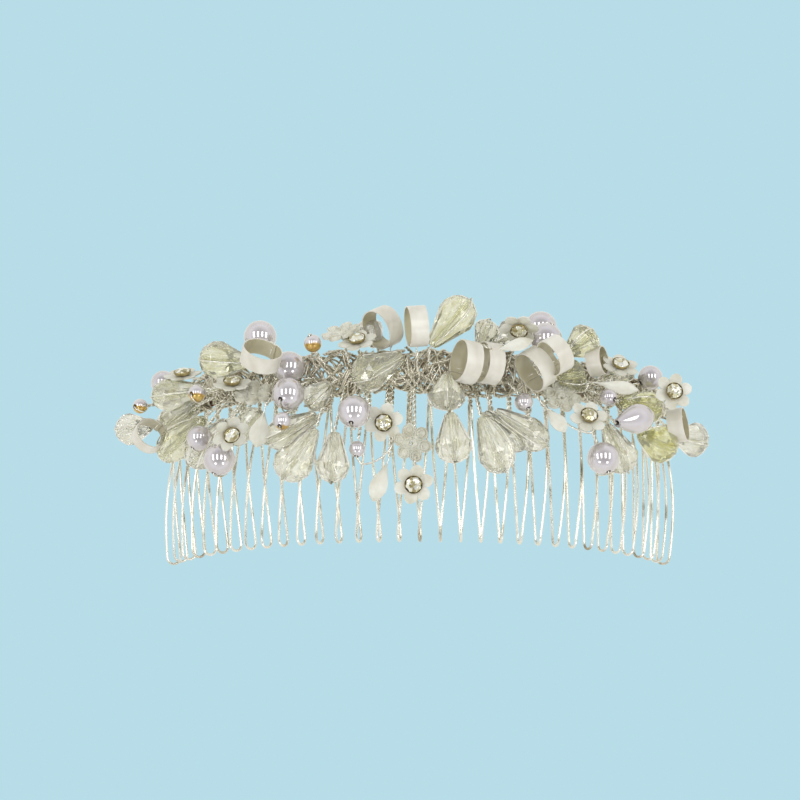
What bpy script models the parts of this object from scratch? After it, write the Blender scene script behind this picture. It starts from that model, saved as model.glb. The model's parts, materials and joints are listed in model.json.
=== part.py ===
"""Decorative bridal hair comb: a wire comb bent to a head's curve, with a spray of ornaments wired to its bar.

The comb lies on a table with its curved outer side up. +X runs along the comb, -Y along the teeth and +Z away
from the head. The pearls turn freely on the fine wire that is threaded through them.
Lengths in this file are in millimetres and are scaled to metres where meshes are made.
"""

import math

import bpy
from mathutils import Matrix, Vector

MM = 0.001

# The comb
ARC_RADIUS = 70.0        # centre line of the top bar, about the radius of a head
ARC_HALF_ANGLE = 66.0    # degrees from the middle of the comb to its end teeth
ARC_CENTRE_Z = -28.5
TOOTH_COUNT = 33
SECTION_TEETH = 11       # teeth in each of the three lengths of comb wire
TOOTH_LENGTH = 40.5
COMB_WIRE_RADIUS = 0.34
PAIR_LENGTH = 6.7        # neighbouring legs run side by side this far below the bar
PAIR_HALF_GAP = 0.5
LEG_HALF_GAP = 1.75      # half the width of a hairpin tooth
HAIRPIN_TURN = 97.0      # degrees that a tooth turns about its own length, from bar to tip
TOOTH_BULGE = 1.0
LYING_TILT = 2.4         # degrees that the comb leans on the table, on its bar's ends and its end teeth's tips
BAR_RADIUS = 1.0
BAR_LOOP_RADIUS = 1.75

# The spray wire
SPRAY_WIRE_RADIUS = 0.3
BUNDLE_HEIGHT = 3.3      # height of the wire's run along the bar
STRAND_GAP = 1.0
STEM_STEP = 4.4
STEM_LEAD = 3.5          # a stem's last straight stretch, square to the piece that it holds
ROOT_SHARE = 0.86        # how far along the bar a stem starts, as a share of its ornament's x
LOOP_ROOT_SHARE = 0.94
WIRE_CLEARANCE = 0.85    # from a bead's surface to the centre of the wire that holds it
PASSING_CLEARANCE = 1.25  # from a bead's surface to the centre of another ornament's stem
DROP_BALLS = ((0.05, 0.4), (0.3, 0.7), (0.6, 1.0), (0.85, 0.85), (1.0, 0.6))    # balls that fill a drop

# The ornaments
BORE_RADIUS = 0.68
PLATE_THICKNESS = 0.5
PETAL_COUNT = 6
FLOWER_RADIUS = 4.9
CUP_RADIUS = 2.3
CUP_HEIGHT = 1.5
PART_GAP = 0.35
LOOP_THICKNESS = 0.5

# Pearls: x, y along the teeth, height above the bar's curve, radius
PEARLS = {
    "pearl_left_upper": (-32.4, 2.9, 7.2, 4.0),
    "pearl_left_lower": (-32.3, -5.0, 12.2, 4.0),
    "pearl_centre_left": (-16.0, -10.2, 11.0, 4.0),
    "pearl_left_side": (-55.3, -12.9, 11.0, 3.2),
    "pearl_left_hanging": (-49.8, -19.2, 11.0, 4.0),
    "pearl_left_tip": (-66.4, 5.2, 8.0, 3.2),
    "pearl_back_left": (-40.0, 12.1, 5.5, 4.1),
    "pearl_back_right": (30.5, 14.4, 1.6, 4.0),
    "pearl_back_right_upper": (31.3, 9.6, 9.0, 4.0),
    "pearl_right_tip": (59.3, 4.6, 7.5, 3.2),
    "pearl_right_hanging": (45.3, -19.8, 12.5, 4.0),
    "small_pearl_left": (-55.5, -2.8, 16.0, 2.2),
    "small_pearl_left_tip": (-71.2, -3.0, 17.5, 1.9),
    "small_pearl_back_left": (-26.4, 8.1, 8.5, 2.2),
    "small_pearl_mid_left": (-33.5, -12.4, 15.5, 2.2),
    "small_pearl_centre": (-15.3, -18.8, 7.5, 2.0),
    "small_pearl_right": (25.6, -6.6, 7.8, 2.3),
    "small_pearl_right_end": (47.0, -4.0, 12.0, 2.2),
}
DROP_PEARL_ENDS = ((48.8, -11.2, 15.5), (58.0, -7.6, 14.5))
DROP_PEARL_RADIUS = 3.7

# Teardrop beads: narrow end, wide end, largest radius
TEARDROPS = {
    "teardrop_top": ((2.8, 6.6, 8.5), (12.4, 18.2, 9.5), 4.9),
    "teardrop_back_left": ((-42.4, 4.8, 9.0), (-54.8, 7.6, 10.8), 4.9),
    "teardrop_mid_left": ((-4.1, 3.9, 8.5), (-16.6, -2.3, 9.6), 4.8),
    "teardrop_centre": ((7.4, -10.2, 7.8), (8.5, -22.8, 10.0), 4.7),
    "teardrop_right_a": ((15.0, -11.6, 10.5), (20.4, -25.4, 13.2), 4.7),
    "teardrop_right_b": ((18.4, -9.4, 7.2), (31.5, -16.9, 7.4), 4.2),
    "teardrop_left_a": ((-25.6, -13.6, 9.5), (-33.6, -26.3, 12.5), 5.0),
    "teardrop_left_b": ((-25.4, -9.8, 6.6), (-38.0, -15.5, 7.2), 4.1),
    "teardrop_left_c": ((-20.8, -14.7, 8.5), (-21.4, -27.2, 9.0), 4.2),
    "teardrop_left_end": ((-54.5, -0.6, 10.5), (-67.8, -1.0, 15.5), 4.3),
    "teardrop_left_tip": ((-69.8, -5.4, 9.2), (-78.6, -5.4, 14.0), 4.3),
    "teardrop_right_yellow": ((51.0, -3.4, 7.4), (61.2, -4.2, 10.2), 4.4),
    "teardrop_right_low": ((46.8, -9.9, 6.8), (52.2, -21.7, 9.0), 4.6),
    "teardrop_right_end": ((67.0, -8.0, 6.0), (75.0, -8.4, 11.0), 4.7),
}

# Enamel flowers: centre of the plate and the way it faces
FLOWERS = {
    "flower_centre": ((-8.8, -12.1, 6.4), (0.0, -0.25, 1.0)),
    "flower_low": ((-1.5, -27.6, 6.5), (0.0, -0.2, 1.0)),
    "flower_left": ((-46.7, -14.0, 15.5), (0.8, -0.9, 1.0)),
    "flower_back_right": ((24.4, 10.8, 12.5), (-0.1, -1.2, 0.8)),
    "flower_right": ((64.0, -1.2, 17.5), (0.25, 0.1, 1.0)),
    "flower_right_lower": ((41.5, -10.3, 13.5), (0.3, 0.6, 1.0)),
}

# Enamel leaves: stalk end, tip, width and the way they face
LEAVES = {
    "leaf_centre": ((-8.0, -22.0, 5.0), (-11.4, -31.5, 6.0), 3.9, (0.0, -0.2, 1.0)),
    "leaf_right": ((31.2, -8.4, 10.6), (35.6, -14.4, 14.4), 3.3, (0.3, -0.2, 1.0)),
}

# Loops of pearlised strip: centre, axis, outer radius, width
LOOPS = {
    "loop_back": ((-9.2, 12.2, 4.6), (0.75, 0.45, -0.5), 5.5, 4.4),
    "loop_back_centre": ((-0.8, 10.9, 11.0), (1.0, 0.1, -0.15), 5.4, 4.4),
    "loop_centre": ((11.4, 1.9, 12.0), (0.9, -0.1, -0.42), 5.5, 4.4),
    "loop_right": ((28.4, 1.2, 11.8), (0.75, 0.55, -0.35), 5.5, 4.4),
    "loop_left": ((-39.0, 4.0, 17.0), (0.25, 0.75, 0.7), 5.2, 4.2),
    "loop_right_end": ((66.0, -7.8, 13.0), (0.95, 0.1, 0.3), 4.7, 4.0),
}

SECTION_EDGES = (-22.0, 22.5)    # x at which the spray passes from one length of wire to the next
SECTION_NAMES = ("left", "centre", "right")


def clear_scene():
    for item in list(bpy.data.objects):
        bpy.data.objects.remove(item, do_unlink=True)


def make_collection(name):
    collection = bpy.data.collections.new(name)
    bpy.context.scene.collection.children.link(collection)
    return collection


def make_material(name, colour, roughness, metallic=0.0):
    material = bpy.data.materials.new(name)
    material.use_nodes = True
    shader = material.node_tree.nodes["Principled BSDF"]
    shader.inputs["Base Color"].default_value = (*colour, 1.0)
    shader.inputs["Roughness"].default_value = roughness
    shader.inputs["Metallic"].default_value = metallic
    return material


def above_bar(x, y, height):
    """Point at x and y, at a height above the cylinder in which the bar is bent."""
    radius = ARC_RADIUS + height
    return Vector((x, y, ARC_CENTRE_Z + math.sqrt(radius * radius - x * x)))


def on_arc(angle, y, height, along=0.0):
    """Point at an angle from the middle of the comb, moved along the bar's curve by a small length."""
    radius = ARC_RADIUS + height
    sine, cosine = math.sin(angle), math.cos(angle)
    return Vector((radius * sine + along * cosine, y, ARC_CENTRE_Z + radius * cosine - along * sine))


def add_object(collection, parent, name, data, material):
    thing = bpy.data.objects.new(name, data)
    data.materials.append(material)
    thing.parent = parent
    collection.objects.link(thing)
    return thing


def add_wire(collection, parent, name, points, radius, material, sides=0):
    """A round wire through the points, closed at both ends."""
    curve = bpy.data.curves.new(name, "CURVE")
    curve.dimensions = "3D"
    curve.bevel_depth = radius * MM
    curve.bevel_resolution = sides
    curve.use_fill_caps = True
    spline = curve.splines.new("POLY")
    spline.points.add(len(points) - 1)
    for slot, point in zip(spline.points, points):
        slot.co = (*(point * MM), 1.0)
    return add_object(collection, parent, name, curve, material)


def add_turned(collection, parent, name, profile, steps, centre, axis, material):
    """A closed profile of (radius, height) pairs turned about an axis; its outer side runs top to bottom."""
    mesh = bpy.data.meshes.new(name)
    points = [(radius * MM, 0.0, height * MM) for radius, height in profile]
    edges = [(i, (i + 1) % len(points)) for i in range(len(points))]
    mesh.from_pydata(points, edges, [])
    thing = add_object(collection, parent, name, mesh, material)
    turn = thing.modifiers.new("turn", "SCREW")
    turn.steps = steps
    turn.render_steps = steps
    turn.use_merge_vertices = True
    turn.merge_threshold = 0.00001
    place(thing, centre, axis)
    return thing


def place(thing, centre, axis, across=Vector((1.0, 0.0, 0.0))):
    """Puts a thing at a centre with its Z on the axis and its X as near to across as it can be."""
    z = axis.normalized()
    x = (across - across.dot(z) * z).normalized()
    y = z.cross(x)
    turn = Matrix((x, y, z)).transposed().to_4x4()
    thing.matrix_local = Matrix.Translation(centre * MM) @ turn


def add_plate(collection, parent, name, outline, centre, axis, across, material):
    """A flat plate from its outline in the plane across the axis."""
    curve = bpy.data.curves.new(name, "CURVE")
    curve.dimensions = "2D"
    curve.fill_mode = "BOTH"
    curve.extrude = 0.5 * PLATE_THICKNESS * MM
    spline = curve.splines.new("POLY")
    spline.points.add(len(outline) - 1)
    spline.use_cyclic_u = True
    for slot, (x, y) in zip(spline.points, outline):
        slot.co = (x * MM, y * MM, 0.0, 1.0)
    thing = add_object(collection, parent, name, curve, material)
    place(thing, centre, axis, across)
    return thing


def tooth_point(angle, side, depth):
    """Centre of a tooth's leg at a depth below the bar; side is -1 or 1."""
    share = (depth - PAIR_LENGTH) / (TOOTH_LENGTH - LEG_HALF_GAP - PAIR_LENGTH)
    turn = math.radians(HAIRPIN_TURN) * share
    half_pitch = math.radians(ARC_HALF_ANGLE) / (TOOTH_COUNT - 1) * ARC_RADIUS
    reach = (half_pitch - PAIR_HALF_GAP) * (1.0 - share) + LEG_HALF_GAP * share
    height = TOOTH_BULGE * math.sin(math.pi * share) + side * reach * math.sin(turn)
    return on_arc(angle, -depth, height, side * reach * math.cos(turn))


def tooth_points(angle, half_pitch):
    """One hairpin tooth: down its left leg, round its tip and up its right leg."""
    depths = (PAIR_LENGTH, 14.0, 22.0, 30.5, TOOTH_LENGTH - LEG_HALF_GAP)
    down = [tooth_point(angle, -1, depth) for depth in depths]
    up = [tooth_point(angle, 1, depth) for depth in reversed(depths)]
    middle = (down[-1] + up[0]) / 2
    spread = (up[0] - down[-1]) / 2
    tip = [
        middle - spread * math.cos(bend) + Vector((0.0, -LEG_HALF_GAP * math.sin(bend), 0.0))
        for bend in (math.pi * 0.25, math.pi * 0.5, math.pi * 0.75)
    ]
    left, right = angle - half_pitch, angle + half_pitch
    start = [
        on_arc(left, BAR_LOOP_RADIUS, 0.4),
        on_arc(left, 1.25, 1.25),
        on_arc(left, 0.0, BAR_LOOP_RADIUS),
        on_arc(left, -2.4, 0.6),
    ]
    end = [
        on_arc(right, -2.4, -0.6),
        on_arc(right, 0.0, -BAR_LOOP_RADIUS),
        on_arc(right, 1.25, -1.25),
        on_arc(right, BAR_LOOP_RADIUS, -0.4),
    ]
    return start + down + tip + up + end


def add_comb(collection, parent, material):
    """The top bar and the three lengths of wire bent into teeth."""
    step = math.radians(2 * ARC_HALF_ANGLE) / (TOOTH_COUNT - 1)
    first = -math.radians(ARC_HALF_ANGLE)
    last = -first
    bar_end = last + step * 0.56
    segments = 44
    bar = [on_arc(-bar_end + 2 * bar_end * i / segments, 0.0, 0.0) for i in range(segments + 1)]
    add_wire(collection, parent, "top_bar", bar, BAR_RADIUS, material, sides=1)
    for section, name in enumerate(SECTION_NAMES):
        points = []
        for tooth in range(SECTION_TEETH):
            angle = first + step * (section * SECTION_TEETH + tooth)
            points += tooth_points(angle, step / 2)
        points = points[1:-1]
        add_wire(collection, parent, "comb_wire_" + name, points, COMB_WIRE_RADIUS, material)


def pearl_profile(radius):
    """A bored ball."""
    start = math.asin(BORE_RADIUS / radius)
    count = 6
    angles = [start + (math.pi - 2 * start) * i / (count - 1) for i in range(count)]
    return [(radius * math.sin(a), radius * math.cos(a)) for a in angles]


def drop_profile(length, radius, peak, end_radius):
    """A bored drop along Z from its narrow end, at -length/2, to its wide end."""
    power = math.log(0.5) / math.log(peak)
    shares = (1.0, 0.94, 0.8, 0.62, 0.38, 0.0)
    outer = [
        (end_radius + (radius - end_radius) * math.sin(math.pi * share ** power), (share - 0.5) * length)
        for share in shares
    ]
    bore = [(BORE_RADIUS, -0.5 * length), (BORE_RADIUS, 0.5 * length)]
    return outer + bore


def flower_outline():
    """Round petals about the middle."""
    count = 6 * PETAL_COUNT
    angles = [2 * math.pi * i / count for i in range(count)]
    return [
        (radius * math.cos(a), radius * math.sin(a))
        for a in angles
        for radius in (FLOWER_RADIUS * (0.66 + 0.34 * abs(math.cos(PETAL_COUNT * a / 2)) ** 0.9),)
    ]


def leaf_outline(length, width):
    """A pointed leaf along X from its stalk end."""
    count = 8
    shares = [i / count for i in range(count + 1)]
    upper = [(length * (s - 0.5), 0.12 + 0.5 * width * math.sin(math.pi * s ** 1.2)) for s in shares]
    return upper[::-1] + [(x, -y) for x, y in upper]


def stem_turn(foot, direction, side):
    """The wire's hold on a piece with no bore: it comes square to the piece at its foot and turns back."""
    half = side * 0.5 * STRAND_GAP
    lead = foot - direction * STEM_LEAD
    return [lead + half, foot + half, foot - half, lead - half]


def threaded_turn(narrow, wide, radius, side):
    """The wire through a bored bead and back along its outside."""
    axis = (wide - narrow).normalized()
    length = (wide - narrow).length
    outside = radius + WIRE_CLEARANCE
    back = [
        wide + axis * 0.75 + side * 1.3,
        narrow + axis * (length * 0.76) + side * outside,
        narrow + axis * (length * 0.24) + side * outside,
        narrow - axis * 1.5 + side * STRAND_GAP,
    ]
    return [narrow - axis * 1.5, wide + axis * 0.75] + back


def push_clear(point, own, balls):
    """Moves a point of a stem out of the space of every other ornament."""
    for name, centre, reach in balls:
        away = point - centre
        if name != own and away.length < reach + PASSING_CLEARANCE:
            point = centre + away.normalized() * (reach + PASSING_CLEARANCE)
    return point


def stem_points(start, end, own, balls):
    """A stem from the bundle to an ornament, in steps, bent round what is in its way."""
    count = max(2, round((end - start).length / STEM_STEP))
    points = []
    for i in range(1, count):
        share = i / count
        point = start.lerp(end, share)
        lift = above_bar(point.x, point.y, BUNDLE_HEIGHT)
        if point.z < lift.z and point.y < 3.0:
            point = lift
        for _ in range(6):
            point = push_clear(point, own, balls)
        points.append(point)
    return points


def spray_points(holds, balls, low_x, high_x):
    """One length of spray wire: along the bar, and out to each ornament and back."""
    points = [above_bar(low_x, 1.2, BUNDLE_HEIGHT)]
    for name, root_x, turn in holds:
        leave = above_bar(root_x - 0.6, 0.0, BUNDLE_HEIGHT)
        arrive = above_bar(root_x + 0.6, 0.0, BUNDLE_HEIGHT)
        out = stem_points(leave, turn[0], name, balls)
        home = stem_points(turn[-1], arrive, name, balls)
        points += [leave] + out + turn + home + [arrive]
    points.append(above_bar(high_x, 1.2, BUNDLE_HEIGHT))
    return points


def drop_balls(name, narrow, wide, radius):
    """Balls that fill a drop bead, for keeping wires clear of it."""
    return [(name, narrow.lerp(wide, share), radius * size) for share, size in DROP_BALLS]


def add_beads(collection, parent, pearl, lucite):
    """Bored pearls and drops. Gives how the wire holds each one, and the balls that fill them."""
    holds, balls = [], []
    for name, (x, y, height, radius) in PEARLS.items():
        centre = above_bar(x, y, height)
        root = above_bar(x * ROOT_SHARE, 0.0, BUNDLE_HEIGHT)
        axis = (centre - root).normalized()
        add_turned(collection, parent, name, pearl_profile(radius), 12, centre, axis, pearl)
        side = side_below(axis, centre)
        reach = math.sqrt(radius * radius - BORE_RADIUS * BORE_RADIUS)
        holds.append((name, x * ROOT_SHARE, threaded_turn(centre - axis * reach, centre + axis * reach, radius, side)))
        balls.append((name, centre, radius))
    drops = {"drop_pearl": (*DROP_PEARL_ENDS, DROP_PEARL_RADIUS), **TEARDROPS}
    for name, (narrow_place, wide_place, radius) in drops.items():
        narrow, wide = above_bar(*narrow_place), above_bar(*wide_place)
        is_pearl = name == "drop_pearl"
        profile = drop_profile((wide - narrow).length, radius, 0.6 if is_pearl else 0.66, 1.25)
        centre = (narrow + wide) / 2
        axis = wide - narrow
        add_turned(collection, parent, name, profile, 9, centre, axis, pearl if is_pearl else lucite)
        side = side_below(axis.normalized(), centre)
        holds.append((name, narrow.x * ROOT_SHARE, threaded_turn(narrow, wide, radius, side)))
        balls += drop_balls(name, narrow, wide, radius)
    return holds, balls


def side_below(axis, centre):
    """The direction across an axis that points down towards the comb's curve."""
    inward = Vector((-centre.x, 0.0, ARC_CENTRE_Z - centre.z)).normalized()
    return (inward - inward.dot(axis) * axis).normalized()


def add_trim(collection, parent, enamel, stone, strip):
    """Flowers with their stones, leaves and strip loops. Gives how the wire holds each one."""
    holds, balls = [], []
    for name, (place_at, facing) in FLOWERS.items():
        centre, axis = above_bar(*place_at), Vector(facing).normalized()
        across = Vector((1.0, 0.3, 0.0))
        add_plate(collection, parent, name, flower_outline(), centre, axis, across, enamel)
        lift = 0.5 * PLATE_THICKNESS + PART_GAP
        cup = [(0.01, lift + CUP_HEIGHT), (CUP_RADIUS * 0.8, lift + CUP_HEIGHT), (CUP_RADIUS, lift + 0.8),
               (CUP_RADIUS, lift), (0.01, lift)]
        add_turned(collection, parent, name.replace("flower", "rhinestone"), cup, 12, centre, axis, stone)
        reach = 0.5 * PLATE_THICKNESS + PART_GAP + SPRAY_WIRE_RADIUS
        side = side_along(axis)
        holds.append((name, centre.x * ROOT_SHARE, stem_turn(centre - axis * reach, axis, side)))
        balls.append((name, centre + axis * 0.8, 3.0))
    for name, (stalk_place, tip_place, width, facing) in LEAVES.items():
        stalk, tip = above_bar(*stalk_place), above_bar(*tip_place)
        along = tip - stalk
        axis = Vector(facing)
        axis = (axis - axis.dot(along) / along.length_squared * along).normalized()
        add_plate(collection, parent, name, leaf_outline(along.length, width), (stalk + tip) / 2, axis, along, enamel)
        along.normalize()
        foot = stalk - along * (PART_GAP + SPRAY_WIRE_RADIUS + 0.1)
        holds.append((name, stalk.x * ROOT_SHARE, stem_turn(foot, along, along.cross(axis))))
    for name, (place_at, axis, radius, width) in LOOPS.items():
        centre, axis = above_bar(*place_at), Vector(axis).normalized()
        inner = radius - LOOP_THICKNESS
        profile = [(inner, 0.5 * width), (radius, 0.5 * width), (radius, -0.5 * width), (inner, -0.5 * width)]
        add_turned(collection, parent, name, profile, 20, centre, axis, strip)
        towards = above_bar(centre.x * LOOP_ROOT_SHARE, 0.0, BUNDLE_HEIGHT) - centre
        towards = (towards - towards.dot(axis) * axis).normalized()
        foot = centre + towards * (radius + PART_GAP + SPRAY_WIRE_RADIUS)
        holds.append((name, centre.x * LOOP_ROOT_SHARE, stem_turn(foot, -towards, axis)))
        balls.append((name, centre, radius))
    return holds, balls


def side_along(axis):
    """A level direction across an axis."""
    return Vector((0.0, 0.0, 1.0)).cross(axis).normalized() if abs(axis.z) < 0.99 else Vector((1.0, 0.0, 0.0))


def add_spray(collection, parent, holds, balls, material):
    """The three lengths of fine wire that hold the ornaments."""
    edges = (-68.0, *SECTION_EDGES, 68.0)
    for section, name in enumerate(SECTION_NAMES):
        low, high = edges[section] + 0.8, edges[section + 1] - 0.8
        held = sorted((hold for hold in holds if low < hold[1] < high), key=lambda hold: hold[1])
        add_wire(collection, parent, "spray_wire_" + name, spray_points(held, balls, low, high),
                 SPRAY_WIRE_RADIUS, material)


def world_box(collection):
    """Lowest and highest corners of everything in the collection, as it is evaluated."""
    bpy.context.view_layer.update()
    graph = bpy.context.evaluated_depsgraph_get()
    points = []
    for thing in collection.objects:
        if thing.type == "EMPTY":
            continue
        shown = thing.evaluated_get(graph)
        mesh = shown.to_mesh()
        points += [shown.matrix_world @ vertex.co for vertex in mesh.vertices]
        shown.to_mesh_clear()
    low = Vector(min(p[i] for p in points) for i in range(3))
    high = Vector(max(p[i] for p in points) for i in range(3))
    return low, high


def main():
    clear_scene()
    collection = make_collection("bridal_hair_comb")
    frame = bpy.data.objects.new("comb_frame", None)
    collection.objects.link(frame)
    comb_metal = make_material("comb_metal", (0.62, 0.58, 0.5), 0.3, 1.0)
    spray_metal = make_material("spray_metal", (0.72, 0.7, 0.64), 0.25, 1.0)
    pearl = make_material("pearl", (0.78, 0.74, 0.79), 0.15)
    lucite = make_material("lucite", (0.8, 0.8, 0.68), 0.1)
    enamel = make_material("enamel", (0.82, 0.79, 0.7), 0.3)
    stone = make_material("stone", (0.75, 0.72, 0.6), 0.08)
    strip = make_material("strip", (0.8, 0.78, 0.68), 0.25)
    add_comb(collection, frame, comb_metal)
    bead_holds, bead_balls = add_beads(collection, frame, pearl, lucite)
    trim_holds, trim_balls = add_trim(collection, frame, enamel, stone, strip)
    add_spray(collection, frame, bead_holds + trim_holds, bead_balls + trim_balls, spray_metal)
    frame.rotation_euler.x = math.radians(LYING_TILT)
    low, high = world_box(collection)
    frame.location = (-(low.x + high.x) / 2, -(low.y + high.y) / 2, -low.z)


main()
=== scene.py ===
"""The looks of the bridal hair comb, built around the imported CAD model.

Shapes are made in the comb's own millimetres: x along the comb, y up along the teeth with 0 at the bar, and
the bar bent about an axis along y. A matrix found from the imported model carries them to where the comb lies.
"""

import json
import math
import random

import bpy
import numpy as np
from mathutils import Matrix, Vector


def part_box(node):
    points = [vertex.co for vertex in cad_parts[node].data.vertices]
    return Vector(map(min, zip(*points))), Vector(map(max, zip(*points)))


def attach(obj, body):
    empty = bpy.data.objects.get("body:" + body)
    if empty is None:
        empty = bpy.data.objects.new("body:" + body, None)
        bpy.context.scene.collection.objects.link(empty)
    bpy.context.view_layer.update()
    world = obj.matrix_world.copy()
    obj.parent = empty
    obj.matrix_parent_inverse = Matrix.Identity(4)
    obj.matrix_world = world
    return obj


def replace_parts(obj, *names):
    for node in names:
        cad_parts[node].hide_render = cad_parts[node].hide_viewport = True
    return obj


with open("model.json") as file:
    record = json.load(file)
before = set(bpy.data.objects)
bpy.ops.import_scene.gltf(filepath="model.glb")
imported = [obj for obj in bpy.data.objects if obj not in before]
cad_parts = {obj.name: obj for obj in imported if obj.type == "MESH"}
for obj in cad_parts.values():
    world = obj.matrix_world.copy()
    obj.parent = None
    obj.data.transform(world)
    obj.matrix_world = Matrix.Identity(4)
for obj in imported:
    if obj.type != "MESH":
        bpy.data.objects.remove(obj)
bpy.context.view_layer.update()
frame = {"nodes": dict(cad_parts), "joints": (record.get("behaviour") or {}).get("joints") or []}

MM = 0.001
ROOT = "comb"
SEED = 7

# The comb, as in the CAD model
ARC_RADIUS = 70.0
ARC_HALF_ANGLE = math.radians(66.0)
ARC_CENTRE_Z = -28.5
LYING_TILT = math.radians(2.4)
TOOTH_COUNT = 33
SECTION_TEETH = 11
HALF_PITCH = ARC_HALF_ANGLE / (TOOTH_COUNT - 1)
TOOTH_LENGTH = 40.5
COMB_WIRE_RADIUS = 0.33
PAIR_TOP = 2.4
PAIR_LENGTH = 6.7
PAIR_TWIST = math.radians(630.0)
PAIR_HALF_GAP = 0.36
LEG_HALF_GAP = 1.75
HAIRPIN_TURN = math.radians(97.0)
TOOTH_BULGE = 1.0
BAR_RADIUS = 0.95
BAR_OVERHANG = 0.56  # how far the bar runs past the end teeth, in tooth spacings
BAR_LOOP_RADIUS = 1.75
SECTION_NAMES = ("left", "centre", "right")
SECTION_EDGES = (-22.0, 22.5)

# The spray
SPRAY_WIRE_RADIUS = 0.24
THREAD_RADIUS = 0.17
STEM_TWIST_PITCH = 2.7
BUNDLE_HEIGHT = 3.3
BUNDLE_REACH = 67.0
BUNDLE_END = 0.97  # pairs and coils stop at this share of the reach
BUNDLE_WIRE_RADIUS = 0.25
BUNDLE_FINE_RADIUS = 0.23
BUNDLE_PAIR_GAP = 0.24
BUNDLE_PAIR_PITCH = 2.3
BUNDLE_STRANDS = 24
BUNDLE_COILS = 34
BUNDLE_PAIRS = 70
BUNDLE_SPREAD = 1.5  # how much wider the bundle is across the comb than it is high
ROOT_SHARE = 0.86  # a stem starts at this share of its ornament's x
LOOP_ROOT_SHARE = 0.94
BORE_RADIUS = 0.62
WIRE_CLEARANCE = 0.6

# Ornaments past the CAD model's number of files: teardrops as narrow end, wide end, radius, tint
EXTRA_TEARDROPS = {
    "teardrop_inner_left": ((-22.1, -2.1, 6.0), (-28.3, -7.0, 7.0), 3.8, 0.15),
    "teardrop_under_leaf": ((-46.3, -14.6, 6.8), (-39.4, -7.4, 7.6), 3.5, 0.15),
    "teardrop_low_left": ((-48.6, -8.2, 5.2), (-58.0, -18.7, 7.2), 4.2, 0.1),
    "teardrop_yellow_left": ((-54.8, -6.8, 6.0), (-66.6, -14.2, 7.4), 4.2, 0.5),
    "teardrop_left_inner": ((-57.5, -2.6, 4.6), (-66.8, -5.6, 5.6), 3.4, 0.3),
    "teardrop_fan_middle": ((15.5, -9.6, 5.2), (26.0, -18.0, 5.8), 3.2, 0.1),
    "teardrop_back_pale": ((18.5, 7.8, 5.5), (24.8, 12.0, 5.6), 4.2, 0.1),
    "teardrop_back_far": ((15.0, 8.0, 4.0), (17.6, 14.2, 4.5), 3.3, 0.15),
    "teardrop_back_yellow": ((36.8, 7.2, 7.5), (43.8, 12.0, 8.5), 4.6, 0.6),
    "teardrop_mid_right": ((34.5, 0.4, 6.0), (40.8, 2.1, 7.2), 4.3, 0.7),
    "teardrop_round_yellow": ((55.9, -11.2, 8.0), (64.8, -13.1, 10.0), 5.1, 0.95),
    "teardrop_round_centre": ((6.6, -1.0, 8.6), (6.5, -9.6, 11.0), 4.7, 0.2),
    "teardrop_behind_loops": ((-10.6, 8.6, 0.0), (-13.6, 14.9, -0.8), 3.6, 0.1),
    "teardrop_back_end": ((47.0, 2.0, 4.0), (53.0, 7.0, 4.5), 4.0, 0.25),
}

# Flowers: centre of the plate, the way it faces, and whether it shows its embossed back
EXTRA_FLOWERS = {
    "flower_edge_left": ((-46.6, -1.0, 12.5), (0.0, 0.9, 0.6), False),
    "flower_back_left": ((-15.3, 7.5, 10.0), (-0.2, 0.9, 0.8), False),
    "flower_upper_right": ((50.2, 4.3, 12.0), (0.2, 0.8, 0.8), False),
    "flower_side_left": ((-60.0, 3.9, 12.0), (-0.1, 0.9, 0.5), False),
    "flower_back_view_centre": ((-2.0, -17.0, 4.1), (0.3, -0.1, 1.0), True),
    "flower_back_view_right": ((35.4, -4.3, 6.6), (0.1, 0.5, 1.0), True),
    "flower_back_view_mid_left": ((-41.4, -3.6, 9.6), (-0.1, 0.7, 0.7), True),
    "flower_back_view_left": ((-19.4, 10.4, 7.0), (-0.3, 0.9, 0.6), True),
}

# Leaves: stalk end, tip, width and the way they face
EXTRA_LEAVES = {
    "leaf_left": ((-38.3, -8.8, 12.0), (-40.2, -17.6, 13.0), 4.7, (0.0, -0.2, 1.0)),
    "leaf_back_right": ((18.9, 4.6, 14.0), (27.3, 7.2, 15.0), 2.8, (0.0, -0.2, 1.0)),
    "leaf_upper_right": ((44.0, -0.9, 12.0), (53.4, -1.3, 13.6), 3.0, (0.1, -0.3, 1.0)),
}

# Strip loops: centre, axis, outer radius, width
EXTRA_LOOPS = {
    "loop_centre_behind": ((16.9, 2.2, 10.2), (0.9, -0.05, -0.42), 5.4, 4.2),
    "loop_right_high": ((33.0, 3.7, 17.0), (0.8, 0.5, -0.35), 4.9, 4.2),
    "loop_right_small": ((44.4, 5.4, 9.6), (0.9, 0.1, 0.4), 4.0, 3.8),
    "loop_left_end": ((-69.3, -9.5, 12.6), (0.5, 0.3, 1.0), 4.5, 3.8),
}

# Single wires that bow out of the bundle, each by the points it passes
LOOSE_WIRES = (
    ((-15.3, -21.0, 7.0), (-14.0, -22.4, 6.6), (-10.6, -21.6, 6.2), (-7.6, -19.0, 5.8), (-6.2, -15.4, 5.0),
     (-5.4, -9.0, 4.0)),
    ((30.0, -6.5, 6.0), (33.5, -9.0, 8.5), (37.5, -12.0, 9.0), (42.0, -13.2, 9.5), (43.5, -11.8, 10.0)),
    ((-26.0, -9.6, 9.6), (-31.0, -12.6, 11.6), (-36.0, -14.8, 11.9), (-40.5, -15.6, 9.8)),
    ((-46.0, -9.5, 8.0), (-50.0, -11.6, 12.5), (-54.5, -16.4, 9.6), (-56.0, -19.5, 8.6)),
    ((23.0, -9.0, 5.4), (25.0, -9.8, 6.2), (27.2, -8.9, 6.4), (27.4, -6.0, 5.0)),
)


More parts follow.
